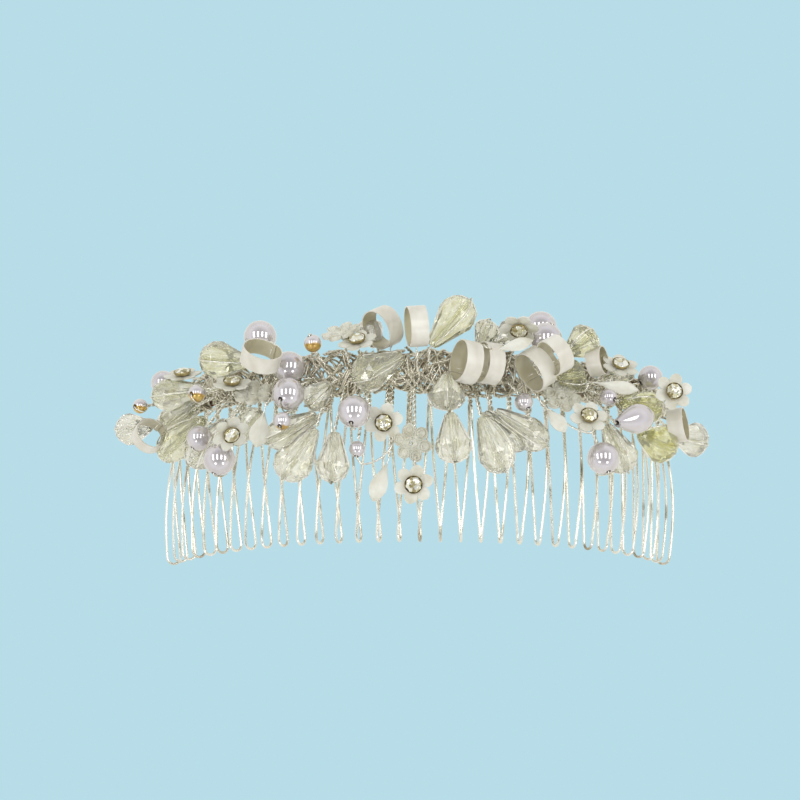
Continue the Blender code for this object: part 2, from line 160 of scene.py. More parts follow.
def main():
    build_camera()
    build_stage()
    build_comb()
    build_ornaments()


# ---------------------------------------------------------------- places

def comb_matrix():
    """Carries the comb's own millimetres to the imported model's metres."""
    low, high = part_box("top_bar")
    middle = (low.x + high.x) / 2
    points = [v.co for v in frame["nodes"]["top_bar"].data.vertices if abs(v.co.x - middle) < 0.2 * MM]
    apex = sum(points, Vector()) / len(points)
    turn = Matrix.Rotation(LYING_TILT, 4, "X") @ Matrix.Scale(MM, 4)
    shift = apex - turn @ Vector((0.0, 0.0, ARC_CENTRE_Z + ARC_RADIUS))
    return Matrix.Translation(shift) @ turn


TO_WORLD = comb_matrix()
FROM_WORLD = TO_WORLD.inverted()


def above_bar(x, y, height):
    """Point at x and y, at a height above the cylinder in which the bar is bent."""
    radius = ARC_RADIUS + height
    return Vector((x, y, ARC_CENTRE_Z + math.sqrt(max(radius * radius - x * x, 0.0))))


def on_arc(angle, y, height, along=0.0):
    """Point at an angle from the middle of the comb, moved along the bar's curve by a small length."""
    radius = ARC_RADIUS + height
    sine, cosine = math.sin(angle), math.cos(angle)
    return Vector((radius * sine + along * cosine, y, ARC_CENTRE_Z + radius * cosine - along * sine))


def node_points(node):
    """A CAD node's corners in the comb's own millimetres, one a row."""
    turned = [FROM_WORLD @ v.co for v in frame["nodes"][node].data.vertices]
    return np.array([tuple(point) for point in turned])


def node_axes(points):
    """The middle of a node and its directions from longest spread to shortest."""
    middle = points.mean(axis=0)
    spread = np.linalg.eigh(np.cov((points - middle).T))
    return Vector(middle), [Vector(spread[1][:, i]) for i in (2, 1, 0)]


def drop_ends(node):
    """Narrow end, wide end and radius of a turned drop."""
    points = node_points(node)
    middle, axes = node_axes(points)
    axis = axes[0]
    along = (points - np.array(middle)) @ np.array(axis)
    out = np.linalg.norm(points - np.array(middle) - np.outer(along, np.array(axis)), axis=1)
    if along[out.argmax()] < (along.min() + along.max()) / 2:
        axis, along = -axis, -along
    return middle + axis * along.min(), middle + axis * along.max(), out.max()


def side_below(axis, centre):
    """The direction across an axis that points down towards the comb's curve."""
    inward = Vector((-centre.x, 0.0, ARC_CENTRE_Z - centre.z)).normalized()
    return (inward - inward.dot(axis) * axis).normalized()


# ---------------------------------------------------------------- mesh tools

class Shape:
    """Corners, faces and each face's material number, collected before they become one mesh."""

    def __init__(self):
        self.corners = []
        self.faces = []
        self.slots = []

    def add(self, corners, faces, slot=0):
        first = len(self.corners)
        self.corners += [tuple(corner) for corner in corners]
        self.faces += [tuple(first + i for i in face) for face in faces]
        self.slots += [slot] * len(faces)
        return self

    def tube(self, path, radius, sides=8):
        """A round wire along a path, closed at both ends."""
        path = np.array([tuple(point) for point in path])
        normals, binormals = path_frames(path)
        turns = 2 * np.pi * np.arange(sides) / sides
        cosines, sines = np.cos(turns)[None, :, None], np.sin(turns)[None, :, None]
        ring = cosines * normals[:, None, :] + sines * binormals[:, None, :]
        corners = (path[:, None, :] + radius * ring).reshape(-1, 3)
        faces = ring_faces(len(path), sides)
        faces.append(tuple(reversed(range(sides))))
        faces.append(tuple((len(path) - 1) * sides + i for i in range(sides)))
        return self.add(corners, faces)

    def lathe(self, profile, sides, centre, axis, across=Vector((1.0, 0.0, 0.0)), slot=0):
        """A profile of (radius, height) pairs turned about an axis; its outer side runs bottom to top."""
        x, y, z = basis(axis, across)
        corners = [
            centre + z * height + (x * math.cos(turn) + y * math.sin(turn)) * radius
            for radius, height in profile
            for turn in (2 * math.pi * i / sides for i in range(sides))
        ]
        return self.add(corners, ring_faces(len(profile), sides, True), slot)

    def piece(self, name, materials, body=ROOT, slot=None, smooth=True, sharp=40.0):
        """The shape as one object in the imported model's frame."""
        mesh = bpy.data.meshes.new(name)
        mesh.from_pydata([TO_WORLD @ Vector(corner) for corner in self.corners], [], self.faces)
        for material in materials:
            mesh.materials.append(material)
        mesh.polygons.foreach_set("material_index", self.slots)
        mesh.update()
        if smooth:
            mesh.shade_smooth()
            mesh.set_sharp_from_angle(angle=math.radians(sharp))
        thing = bpy.data.objects.new(name, mesh)
        bpy.context.scene.collection.objects.link(thing)
        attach(thing, body)
        return thing


def basis(axis, across=Vector((1.0, 0.0, 0.0))):
    """Three square directions: the last is the axis and the first is as near to across as it can be."""
    z = axis.normalized()
    x = across - across.dot(z) * z
    if x.length < 1e-4:
        x = Vector((0.0, 1.0, 0.0)) - z.y * z
    x.normalize()
    return x, z.cross(x), z


def band_faces(low, high, sides):
    """Faces between two rings of corners, whose first corners are low and high."""
    return [(low + i, low + (i + 1) % sides, high + (i + 1) % sides, high + i) for i in range(sides)]


def ring_faces(rings, sides, closed=False):
    """Faces between neighbouring rings of corners; closed joins the last ring to the first."""
    faces = []
    for ring in range(rings if closed else rings - 1):
        faces += band_faces(ring * sides, (ring + 1) % rings * sides, sides)
    return faces


def facet_faces(rings, sides):
    """Faces between rings of (place, radius, half); triangles where one of two is turned by half."""
    faces = []
    for ring in range(len(rings) - 1):
        low, high = ring * sides, (ring + 1) * sides
        if rings[ring][2] == rings[ring + 1][2]:
            faces += band_faces(low, high, sides)
            continue
        for i in range(sides):
            j = (i + 1) % sides
            if rings[ring][2] == 0:
                faces += [(low + i, low + j, high + i), (low + j, high + j, high + i)]
            else:
                faces += [(low + i, high + j, high + i), (low + i, low + j, high + j)]
    return faces


def path_frames(path):
    """Two directions across a path at each point, turned as little as can be from point to point."""
    tangents = np.gradient(path, axis=0)
    tangents /= np.maximum(np.linalg.norm(tangents, axis=1), 1e-9)[:, None]
    start = np.array((0.0, 0.0, 1.0)) if abs(tangents[0][2]) < 0.9 else np.array((0.0, 1.0, 0.0))
    normals = np.zeros_like(path)
    for i, tangent in enumerate(tangents):
        start = start - start.dot(tangent) * tangent
        start = start / max(np.linalg.norm(start), 1e-9)
        normals[i] = start
    return normals, np.cross(tangents, normals)


def smooth_path(points, step):
    """A smooth curve through the points, with a point about every step."""
    points = [Vector(point) for point in points]
    ends = [2 * points[0] - points[1]] + points + [2 * points[-1] - points[-2]]
    out = []
    for a, b, c, d in zip(ends, ends[1:], ends[2:], ends[3:]):
        count = max(1, round((c - b).length / step))
        for i in range(count):
            t = i / count
            bend = (2 * a - 5 * b + 4 * c - d) * t * t + (3 * b - a - 3 * c + d) * t ** 3
            out.append(0.5 * (2 * b + (c - a) * t + bend))
    return out + [points[-1]]


def twisted_strands(path, gap, pitch, start):
    """Two strands twisted about a path."""
    path = np.array([tuple(point) for point in path])
    normals, binormals = path_frames(path)
    length = np.concatenate(([0.0], np.cumsum(np.linalg.norm(np.diff(path, axis=0), axis=1))))
    turn = start + 2 * np.pi * length / pitch
    offset = gap * (np.cos(turn)[:, None] * normals + np.sin(turn)[:, None] * binormals)
    return path + offset, path - offset


# ---------------------------------------------------------------- materials

WHITE = (1.0, 1.0, 1.0, 1.0)
BLACK = (0.0, 0.0, 0.0, 1.0)
WEAR_EDGE = 0.08  # how far the amber takes to fade into the paint


def linear(*screen):
    """Red, green and blue as they look on screen, 0 to 255, in the shader's own terms."""
    return tuple(((c / 255 + 0.055) / 1.055) ** 2.4 if c > 10 else c / 3294 for c in screen) + (1.0,)


class Look:
    """A Principled material and short ways to give it patterned inputs."""

    def __init__(self, name, **settings):
        self.material = bpy.data.materials.new(name)
        self.material.use_nodes = True
        self.tree = self.material.node_tree
        self.shader = self.tree.nodes["Principled BSDF"]
        for socket, value in settings.items():
            self.shader.inputs[socket.replace("_", " ")].default_value = value
        self.coordinates = self.tree.nodes.new("ShaderNodeTexCoord")
        self.place = self.coordinates.outputs["Object"]

    def node(self, kind, **inputs):
        node = self.tree.nodes.new(kind)
        for socket, value in inputs.items():
            self.feed(node.inputs[socket.replace("_", " ")], value)
        return node

    def feed(self, socket, value):
        if isinstance(value, bpy.types.NodeSocket):
            self.tree.links.new(value, socket)
        else:
            socket.default_value = value

    def noise(self, scale, detail=3.0, stretch=None):
        place = self.place
        if stretch:
            place = self.node("ShaderNodeMapping", Vector=self.place, Scale=stretch).outputs["Vector"]
        return self.node("ShaderNodeTexNoise", Vector=place, Scale=scale, Detail=detail).outputs["Fac"]

    def ramp(self, factor, *stops):
        node = self.node("ShaderNodeValToRGB", Fac=factor)
        marks = node.color_ramp.elements
        while len(marks) < len(stops):
            marks.new(1.0)
        for mark, (place, colour) in zip(marks, stops):
            mark.position = place
            mark.color = colour
        return node.outputs["Color"]

    def span(self, factor, low, high):
        node = self.node("ShaderNodeMapRange", Value=factor)
        node.inputs["To Min"].default_value = low
        node.inputs["To Max"].default_value = high
        return node.outputs["Result"]

    def set(self, socket, value):
        self.feed(self.shader.inputs[socket], value)

    def bump(self, height, strength, distance=0.0001):
        node = self.node("ShaderNodeBump", Height=height, Strength=strength, Distance=distance)
        self.set("Normal", node.outputs["Normal"])


def wire_look(name, bright, tarnish, roughness, patches, rust=None):
    """Silver-coloured wire with patches of tarnish, and spots of rust where a colour for it is given."""
    look = Look(name, Metallic=1.0)
    blotch = look.noise(patches, 4.0)
    spots = ((0.24, rust), (0.3, tarnish)) if rust else ((0.3, tarnish),)
    look.set("Base Color", look.ramp(blotch, *spots, (0.46, bright), (0.75, bright)))
    look.set("Roughness", look.span(look.noise(900.0), roughness, roughness + 0.2))
    look.bump(look.noise(2500.0), 0.25)
    return look.material


def pearl_look(name, wear=None):
    """Nacre-like paint with a clear coat; on a worn pearl, what faces lower than wear (-1 to 1) is amber."""
    look = Look(name, Metallic=0.52, IOR=1.5, Coat_Weight=1.0, Coat_Roughness=0.02, Coat_IOR=1.6)
    cloud = look.noise(260.0, 2.0)
    paint = look.ramp(cloud, (0.3, linear(203, 197, 199)), (0.7, linear(221, 216, 216)))
    if wear is not None:
        height = look.node("ShaderNodeSeparateXYZ", Vector=look.coordinates.outputs["Normal"])
        ragged = look.node("ShaderNodeMath")
        ragged.operation = "ADD"
        look.feed(ragged.inputs[0], height.outputs["Y"])
        look.feed(ragged.inputs[1], look.span(look.noise(900.0), -0.2, 0.2))
        spread = look.node("ShaderNodeMapRange", Value=ragged.outputs["Value"], From_Min=-1.0)
        level = 0.5 + wear / 2
        share = look.ramp(spread.outputs["Result"], (level, WHITE), (level + WEAR_EDGE, BLACK))
        amber = look.ramp(look.noise(1100.0), (0.35, linear(178, 134, 52)), (0.65, linear(218, 186, 92)))
        mix = look.node("ShaderNodeMix")
        mix.data_type = "RGBA"
        look.feed(mix.inputs[0], share)
        look.feed(mix.inputs[6], paint)
        look.feed(mix.inputs[7], amber)
        paint = mix.outputs[2]
    look.set("Base Color", paint)
    look.set("Roughness", look.span(look.noise(500.0), 0.08, 0.14))
    look.bump(look.noise(1600.0), 0.03)
    return look.material


def lucite_look(name, tint, axis):
    """Acrylic, from nearly clear at tint 0 to yellow-green at tint 1, with streaks along the bead's axis."""
    look = Look(name, IOR=1.49, Coat_Weight=1.0, Coat_Roughness=0.02, Coat_IOR=1.6)
    pale = Vector(linear(252, 252, 247)).lerp(Vector(linear(246, 247, 206)), tint)
    deep = Vector(linear(234, 233, 214)).lerp(Vector(linear(222, 218, 134)), tint)
    turn = axis.to_track_quat("Z", "Y").to_euler()
    mapping = look.node("ShaderNodeMapping", Vector=look.place, Rotation=turn, Scale=(1.0, 1.0, 7.0))
    mapping.vector_type = "TEXTURE"
    grain = look.node("ShaderNodeTexNoise", Vector=mapping.outputs["Vector"], Scale=900.0, Detail=3.0)
    streak = grain.outputs["Fac"]
    look.set("Base Color", look.ramp(streak, (0.36, tuple(deep)), (0.56, tuple(pale))))
    look.set("Transmission Weight", look.span(streak, 0.62, 1.0))
    look.set("Roughness", look.span(look.noise(420.0), 0.0, 0.08))
    look.bump(streak, 0.4)
    return look.material


def enamel_look(name):
    look = Look(name, IOR=1.5, Coat_Weight=0.35, Coat_Roughness=0.2)
    patch = look.noise(300.0, 3.0)
    look.set("Base Color", look.ramp(patch, (0.25, linear(204, 200, 178)), (0.5, linear(222, 221, 206)),
                                     (0.8, linear(234, 234, 224))))
    look.set("Roughness", look.span(look.noise(800.0), 0.3, 0.5))
    look.bump(look.noise(700.0, 3.0), 0.12)
    return look.material


def strip_look(name, light, dark):
    """Pearlised strip with fine lines that run up the comb."""
    look = Look(name, IOR=1.5, Coat_Weight=0.5, Coat_Roughness=0.2, Sheen_Weight=0.1)
    streak = look.noise(220.0, 3.0, stretch=(1.0, 0.25, 1.0))
    look.set("Base Color", look.ramp(streak, (0.3, dark), (0.62, light)))
    look.set("Roughness", look.span(look.noise(500.0), 0.25, 0.4))
    look.bump(streak, 0.3)
    return look.material


def stone_look():
    """A foiled stone: small facets, each with its own tilt and painted glints: each facet's brightness, from
    near white to dark brass, is painted into its colour.
    """
    look = Look("rhinestone_glass_painted_glints", IOR=1.7, Roughness=0.03, Coat_Weight=1.0)
    cells = look.node("ShaderNodeTexVoronoi", Vector=look.place, Scale=1050.0)
    painted_glint = look.node("ShaderNodeSeparateColor", Color=cells.outputs["Color"]).outputs["Red"]
    # painted glints and dark facets: the facets' sparkle is painted into the base colour and the metallic
    look.set("Base Color", look.ramp(painted_glint, (0.1, linear(146, 134, 82)), (0.4, linear(208, 200, 154)),
                                     (0.78, linear(248, 248, 236))))
    look.set("Metallic", look.span(painted_glint, 0.2, 0.75))
    look.bump(cells.outputs["Distance"], 0.6, 0.0004)
    return look.material


def brass_look():
    look = Look("cup_brass", Metallic=1.0)
    patch = look.noise(500.0)
    look.set("Base Color", look.ramp(patch, (0.3, linear(134, 120, 82)), (0.65, linear(196, 182, 134))))
    look.set("Roughness", look.span(look.noise(900.0), 0.22, 0.42))
    return look.material


SILVER = wire_look("comb_silver", linear(242, 240, 228), linear(176, 168, 146), 0.18, 160.0)
FINE_SILVER = wire_look("spray_silver", linear(240, 238, 226), linear(168, 156, 126), 0.16, 260.0)
RUST = linear(142, 84, 52)
BUNDLE_SILVER = wire_look("bundle_silver", linear(224, 219, 202), linear(134, 118, 90), 0.2, 240.0, RUST)
PEARL = pearl_look("pearl_paint")
WORN_PEARL = pearl_look("pearl_paint_worn", -0.28)
RIM_WORN_PEARL = pearl_look("pearl_paint_rim_worn", -0.72)
ENAMEL = enamel_look("ivory_enamel")
STONE = stone_look()
BRASS = brass_look()
STRIP_OUT = strip_look("strip_outside", linear(230, 227, 214), linear(206, 200, 182))
STRIP_IN = strip_look("strip_inside", linear(200, 194, 165), linear(172, 164, 130))


# ---------------------------------------------------------------- comb

def tooth_leg(angle, side, rng):
    """Points down one leg of a tooth, from under the bar to where its round tip starts."""
    points = []
    pair_angle = angle + side * HALF_PITCH
    steps = 16
    for i in range(steps):
        share = i / steps
        depth = PAIR_TOP + (PAIR_LENGTH - PAIR_TOP) * share
        turn = math.pi / 2 + PAIR_TWIST * share + (math.pi if side > 0 else 0.0)
        height, along = PAIR_HALF_GAP * math.sin(turn), PAIR_HALF_GAP * math.cos(turn)
        points.append(on_arc(pair_angle, -depth, height, along))
    straight = TOOTH_LENGTH - LEG_HALF_GAP - PAIR_LENGTH
    steps = 20
    sway = rng.uniform(-0.12, 0.12)
    for i in range(steps + 1):
        share = i / steps
        turn = HAIRPIN_TURN * share
        reach = (HALF_PITCH * ARC_RADIUS - PAIR_HALF_GAP) * (1.0 - share) + LEG_HALF_GAP * share
        height = TOOTH_BULGE * math.sin(math.pi * share) + side * reach * math.sin(turn)
        along = side * reach * math.cos(turn) + sway * math.sin(math.pi * share)
        points.append(on_arc(angle, -PAIR_LENGTH - straight * share, height, along))
    return points


def over_bar(angle, direction):
    """Points where the comb's wire bends over the bar."""
    turns = [math.radians(turn) for turn in (0, 35, 70, 105)]
    out, up = BAR_LOOP_RADIUS, direction * BAR_LOOP_RADIUS
    return [on_arc(angle, out * math.cos(turn), up * math.sin(turn)) for turn in turns]


def tooth_path(angle, rng):
    """One hairpin tooth, from over the bar, down, round its tip and up to the bar again."""
    down = tooth_leg(angle, -1, rng)
    up = tooth_leg(angle, 1, rng)[::-1]
    middle = (down[-1] + up[0]) / 2
    spread = (up[0] - down[-1]) / 2
    steps = 9
    down_the_comb = Vector((0.0, -LEG_HALF_GAP, 0.0))
    turns = [math.pi * i / steps for i in range(1, steps)]
    tip = [middle - spread * math.cos(turn) + down_the_comb * math.sin(turn) for turn in turns]
    first, last = over_bar(angle - HALF_PITCH, 1.0), over_bar(angle + HALF_PITCH, -1.0)
    return first[1:] + down + tip + up + last[::-1]


def build_comb():
    """The comb's wire, its bar and the bundle of fine wire wound on it."""
    rng = random.Random(SEED)
    step = 2 * HALF_PITCH
    for section, name in enumerate(SECTION_NAMES):
        path = []
        for tooth in range(SECTION_TEETH):
            path += tooth_path(-ARC_HALF_ANGLE + step * (section * SECTION_TEETH + tooth), rng)
        wire = Shape().tube(smooth_path(path[:-1], 0.5), COMB_WIRE_RADIUS, 8)
        piece = wire.piece("comb_wire_" + name + "_bent", [SILVER], slot="comb_wire")
        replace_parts(piece, "comb_wire_" + name)
    bar_end = ARC_HALF_ANGLE + step * BAR_OVERHANG
    bar = Shape().tube([on_arc(bar_end * (i / 60 - 1), 0.0, 0.0) for i in range(121)], BAR_RADIUS, 12)
    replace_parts(bar.piece("top_bar_round", [SILVER], slot="comb_wire"), "top_bar")
    build_bundle(rng)


def bundle_radius(angle):
    """How thick the wound wire is along the bar: full in the middle, thin at its ends."""
    share = abs(angle) / math.radians(BUNDLE_REACH)
    return 2.0 + 1.4 * math.cos(min(share, 1.0) * math.pi / 2)


def bundle_point(angle, turn, out):
    """A point on the wound wire's oval section, which is wide across the comb and low."""
    return on_arc(angle, 1.6 + BUNDLE_SPREAD * out * math.cos(turn), 1.1 + out * math.sin(turn))


def build_bundle(rng):
    """Strands along the bar, twisted pairs that wander over them, and short coils wound round them."""
    shape = Shape()
    reach = math.radians(BUNDLE_REACH)
    for strand in range(BUNDLE_STRANDS):
        phase = 2 * math.pi * strand / BUNDLE_STRANDS
        turns = rng.choice((-1, 1)) * rng.uniform(4.0, 12.0)
        layer = rng.uniform(0.45, 1.0)
        wobble = rng.uniform(0.0, 6.0)
        path = []
        for i in range(361):
            angle = reach * (i / 180 - 1)
            turn = phase + turns * 2 * math.pi * i / 360 + 0.6 * math.sin(9 * angle + wobble)
            out = 1.5 + (bundle_radius(angle) - 1.5) * layer + 0.35 * math.sin(23 * angle + wobble * 2)
            path.append(bundle_point(angle, turn, out))
        shape.tube(path, BUNDLE_WIRE_RADIUS, 6)
    for _ in range(BUNDLE_PAIRS):
        angle = rng.uniform(-BUNDLE_END, 0.9) * reach
        turn = rng.uniform(-0.6, 3.6)
        knots = []
        for _ in range(rng.randint(4, 8)):
            if angle > BUNDLE_END * reach:
                break
            knots.append(bundle_point(angle, turn, bundle_radius(angle) + rng.uniform(-0.2, 0.8)))
            angle += rng.uniform(0.015, 0.06)
            turn += rng.uniform(-1.3, 1.3)
        path = smooth_path(knots, 0.4)
        for strand in twisted_strands(path, BUNDLE_PAIR_GAP, BUNDLE_PAIR_PITCH, rng.uniform(0.0, 6.0)):
            shape.tube(strand, BUNDLE_FINE_RADIUS, 6)
    for _ in range(BUNDLE_COILS):
        start = rng.uniform(-0.95, 0.9) * reach
        steps = round(rng.uniform(0.8, 2.6) * 14)
        lean = rng.uniform(0.004, 0.03) * rng.choice((-1, 1))
        first = rng.uniform(0.0, 6.0)
        sway = rng.uniform(-0.035, 0.035)
        out = bundle_radius(start) + rng.uniform(-0.3, 0.5)
        path = []
        for i in range(steps):
            turn = first + 2 * math.pi * i / 14
            middle = max(-BUNDLE_END * reach, min(BUNDLE_END * reach, start + lean * i / 3))
            angle = middle + sway * math.cos(turn)
            path.append(bundle_point(angle, turn, out + 0.2 * math.sin(i)))
        shape.tube(path, BUNDLE_FINE_RADIUS, 6)
    shape.piece("wire_bundle", [BUNDLE_SILVER], slot="spray_wire", sharp=70.0)


# ---------------------------------------------------------------- ornaments

class Spray:
    """The balls that fill the ornaments, and the stems of each length of spray wire."""

    def __init__(self):
        self.balls = []
        self.stems = []

    def block(self, name, centre, radius):
        self.balls.append((name, centre, radius))

    def hold(self, name, path, root_x=None):
        """A stem ends with a path of points at its ornament."""
        root = path[0].x * ROOT_SHARE if root_x is None else root_x
        self.stems.append((name, root, path))

    def clear(self, name, point):
        for other, centre, reach in self.balls:
            away = point - centre
            if other != name and away.length < reach + WIRE_CLEARANCE:
                point = centre + away.normalized() * (reach + WIRE_CLEARANCE)
        return point

    def build(self):
        """Each stem is two strands twisted from the bundle to the ornament."""
        rng = random.Random(SEED + 1)
        shapes = {name: Shape() for name in SECTION_NAMES}
        for name, root_x, end in self.stems:
            root = above_bar(root_x, 0.3, BUNDLE_HEIGHT - 1.6)
            count = max(3, round((end[0] - root).length / 2.5))
            points = []
            for i in range(count):
                share = i / count
                arch = 1.2 * math.sin(math.pi * share)
                point = root.lerp(end[0], share) + Vector((0.0, 0.0, arch))
                for _ in range(6):
                    point = self.clear(name, point)
                points.append(point)
            path = smooth_path(points + end[:1], 0.45)
            section = SECTION_NAMES[sum(root_x > edge for edge in SECTION_EDGES)]
            start = rng.uniform(0.0, 6.0)
            for strand in twisted_strands(path, SPRAY_WIRE_RADIUS * 1.02, STEM_TWIST_PITCH, start):
                shapes[section].tube(strand, SPRAY_WIRE_RADIUS, 6)
            if len(end) > 1:
                shapes[section].tube(smooth_path(end, 0.4), THREAD_RADIUS, 6)
        for name, shape in shapes.items():
            piece = shape.piece(f"spray_wire_{name}_twisted", [FINE_SILVER], slot="spray_wire", sharp=70.0)
            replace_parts(piece, "spray_wire_" + name)


def threaded_path(narrow, wide, radius, side):
    """The wire through a bead's bore and back along its outside."""
    axis = (wide - narrow).normalized()
    length = (wide - narrow).length
    outside = radius + SPRAY_WIRE_RADIUS + 0.05
    return [
        narrow - axis * 0.8,
        narrow,
        narrow + axis * length * 0.5,
        wide,
        wide + axis * 0.22 + side * 0.25,
        wide + axis * 0.2 + side * 1.0,
        narrow + axis * length * 0.84 + side * outside * 0.82,
        narrow + axis * length * 0.6 + side * outside,
        narrow + axis * length * 0.25 + side * outside * 0.72,
        narrow - axis * 0.6 + side * 0.3,
    ]


WORN = {
    "small_pearl_left": WORN_PEARL,
    "small_pearl_left_tip": WORN_PEARL,
    "small_pearl_back_left": WORN_PEARL,
    "small_pearl_mid_left": RIM_WORN_PEARL,
}


def build_pearls(spray):
    turn = FROM_WORLD.to_3x3().normalized()
    for joint in frame["joints"]:
        node = joint["child"]
        centre = FROM_WORLD @ Vector(joint["pos_m"])
        axis = (turn @ Vector(joint["axis"])).normalized()
        shape = Shape()
        if node == "drop_pearl":
            narrow, wide, radius = drop_ends(node)
            axis = (wide - narrow).normalized()
            profile = drop_profile((wide - narrow).length, radius, 0.6, 36)
            shape.lathe(profile, 48, (narrow + wide) / 2, axis)
        else:
            points = node_points(node)
            radius = float(np.linalg.norm(points - np.array(centre), axis=1).max())
            start = math.asin(BORE_RADIUS / radius)
            angles = [math.pi - start - (math.pi - 2 * start) * i / 30 for i in range(31)]
            profile = [(radius * math.sin(a), radius * math.cos(a)) for a in angles]
            shape.lathe(profile, 48, centre, axis)
            half = math.sqrt(radius * radius - BORE_RADIUS * BORE_RADIUS)
            narrow, wide = centre - axis * half, centre + axis * half
        piece = shape.piece(node + "_painted", [WORN.get(node, PEARL)], body=node, slot="pearl")
        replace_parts(piece, node)
        spray.block(node, (narrow + wide) / 2, radius)
        spray.hold(node, threaded_path(narrow, wide, radius, side_below(axis, centre)))


def drop_profile(length, radius, peak, count):
    """A bored drop along Z, from its narrow end at -length/2 up to its wide end, and back down its bore."""
    power = math.log(0.5) / math.log(peak)
    end_radius = 1.15
    outer = []
    for i in range(count + 1):
        share = i / count
        grow = math.sin(math.pi * share ** power) ** 0.9
        outer.append((end_radius + (radius - end_radius) * grow, (share - 0.5) * length))
    return outer + [(BORE_RADIUS, 0.5 * length), (BORE_RADIUS, -0.5 * length)]


def facet_shape(narrow, wide, radius, turn):
    """A teardrop bead cut in long facets, with rings of small facets at its wide end."""
    sides = 10
    axis = wide - narrow
    length = axis.length
    x, y, z = basis(axis)
    outer = ((0.0, 1.2, 0), (0.06, 1.75, 0), (0.60, radius * 0.99, 0), (0.72, radius, 1),
             (0.88, radius * 0.78, 0), (0.95, radius * 0.5, 1), (0.98, radius * 0.3, 1))
    bore = ((0.98, BORE_RADIUS, 1), (0.0, BORE_RADIUS, 0))
    corners = []
    for share, out, half in outer + bore:
        for i in range(sides):
            at = turn + 2 * math.pi * (i + 0.5 * half) / sides
            corners.append(narrow + z * length * share + (x * math.cos(at) + y * math.sin(at)) * out)
    faces = facet_faces(outer, sides)
    for ring in (len(outer) - 1, len(outer)):
        faces += band_faces(ring * sides, (ring + 1) * sides, sides)
    faces += band_faces((len(outer) + 1) * sides, 0, sides)
    return Shape().add(corners, faces)


PLAIN_TINT = 0.15
TINTS = {
    "teardrop_top": 0.5,
    "teardrop_back_left": 0.5,
    "teardrop_right_yellow": 0.95,
    "teardrop_left_end": 0.35,
    "teardrop_left_tip": 0.1,
    "teardrop_mid_left": 0.3,
}


def build_teardrops(spray):
    rng = random.Random(SEED + 2)
    beads = {}
    for node in sorted(frame["nodes"]):
        if node.startswith("teardrop"):
            beads[node] = (*drop_ends(node), TINTS.get(node, PLAIN_TINT))
    for name, (narrow, wide, radius, tint) in EXTRA_TEARDROPS.items():
        beads[name] = (above_bar(*narrow), above_bar(*wide), radius, tint)
    for name, (narrow, wide, radius, tint) in beads.items():
        look = lucite_look("lucite_" + name, tint, wide - narrow)
        shape = facet_shape(narrow, wide, radius, rng.uniform(0.0, 1.0))
        piece = shape.piece(name + "_cut", [look], slot="lucite", smooth=False)
        bevel = piece.modifiers.new("edges", "BEVEL")
        bevel.width = 0.00012
        bevel.segments = 2
        bevel.limit_method = "ANGLE"
        bevel.angle_limit = math.radians(8.0)
        if name in frame["nodes"]:
            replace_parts(piece, name)
        axis = (wide - narrow).normalized()
        for share, size in ((0.25, 0.6), (0.6, 1.0), (0.85, 0.8)):
            spray.block(name, narrow.lerp(wide, share), radius * size)
        up = -side_below(axis, (narrow + wide) / 2)
        side = (up + axis.cross(up) * rng.uniform(-0.9, 0.9)).normalized()
        spray.hold(name, threaded_path(narrow, wide, radius, side))


FLOWER_RADIUS = 4.9
PETALS = 6
PETAL_THICKNESS = 0.38
STONE_RADIUS = 2.25


def petal_point(share, turn):
    """Distance out and height of a flower's surface at a share of the way out and a turn about its middle."""
    lobe = abs(math.cos(PETALS * turn / 2))
    rim = 0.62 + 0.36 * lobe ** 0.62 + 0.02 * lobe ** 9
    out = FLOWER_RADIUS * share * (1.0 - (1.0 - rim) * share ** 0.6)
    height = 0.6 * share * share - 0.3 * share * (1.0 - lobe ** 0.7) + 0.16 * math.sin(math.pi * share) * lobe
    return out, height


def flower_shape(centre, axis, across, embossed):
    """Six petals with a thin edge, with raised rings where embossed."""
    x, y, z = basis(axis, across)
    rings, sides = 36 if embossed else 12, 144
    corners = []
    for under in (0.0, -PETAL_THICKNESS):
        for ring in range(rings):
            share = 0.1 + 0.9 * ring / (rings - 1)
            for i in range(sides):
                turn = 2 * math.pi * i / sides
                out, height = petal_point(share, turn)
                if embossed and not under:
                    height += emboss(out, turn)
                shrink = 0.12 if under and ring == rings - 1 else 0.0
                direction = x * math.cos(turn) + y * math.sin(turn)
                corners.append(centre + direction * (out - shrink) + z * (height + under))
    faces = ring_faces(rings, sides)
    below = [tuple(reversed([rings * sides + i for i in face])) for face in faces]
    rim, rim_below = (rings - 1) * sides, (2 * rings - 1) * sides
    edge, middle = [], []
    for i in range(sides):
        j = (i + 1) % sides
        edge.append((rim + i, rim + j, rim_below + j, rim_below + i)[::-1])
        middle.append((i, j, rings * sides + j, rings * sides + i))
    return Shape().add(corners, faces + below + edge + middle)


def emboss(out, turn):
    """Height of the raised rings on a flower's back: two on each petal and one round the middle."""
    step = 2 * math.pi / PETALS
    nearest = round(turn / step) * step
    petal_middle = 0.68 * FLOWER_RADIUS
    away = math.hypot(out * math.cos(turn) - petal_middle * math.cos(nearest),
                      out * math.sin(turn) - petal_middle * math.sin(nearest))
    rings = ((away, 0.85), (away, 1.5), (out, 0.22 * FLOWER_RADIUS))
    return sum(0.6 * math.exp(-((distance - ring) / 0.2) ** 2) for distance, ring in rings)


